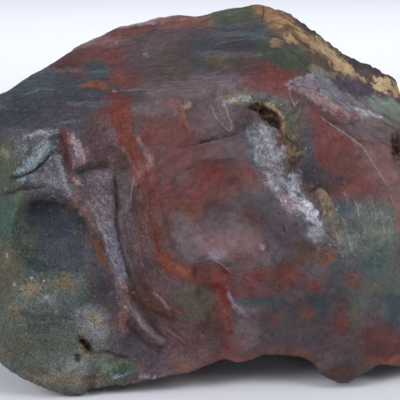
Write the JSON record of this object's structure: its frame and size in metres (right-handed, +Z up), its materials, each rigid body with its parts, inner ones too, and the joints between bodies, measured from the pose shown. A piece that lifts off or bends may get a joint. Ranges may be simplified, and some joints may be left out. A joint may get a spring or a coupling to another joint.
{
  "type": "raw jasper stone",
  "caption": "Raw block of green and red jasper with broken shell-shaped faces, a striped top and a golden-brown rind, resting on its own base",
  "frame": {"origin": "middle of the stone's box, at the surface that it rests on", "axes": "+X along the stone's length, to the right as its coloured front is looked at; +Y away from that front; +Z up"},
  "size_m": [0.13, 0.075, 0.096],
  "materials": {
    "jasper": "broken stone, waxy to dull"
  },
  "bodies": {
    "root": {"jasper": "jasper"}
  },
  "joints": []
}
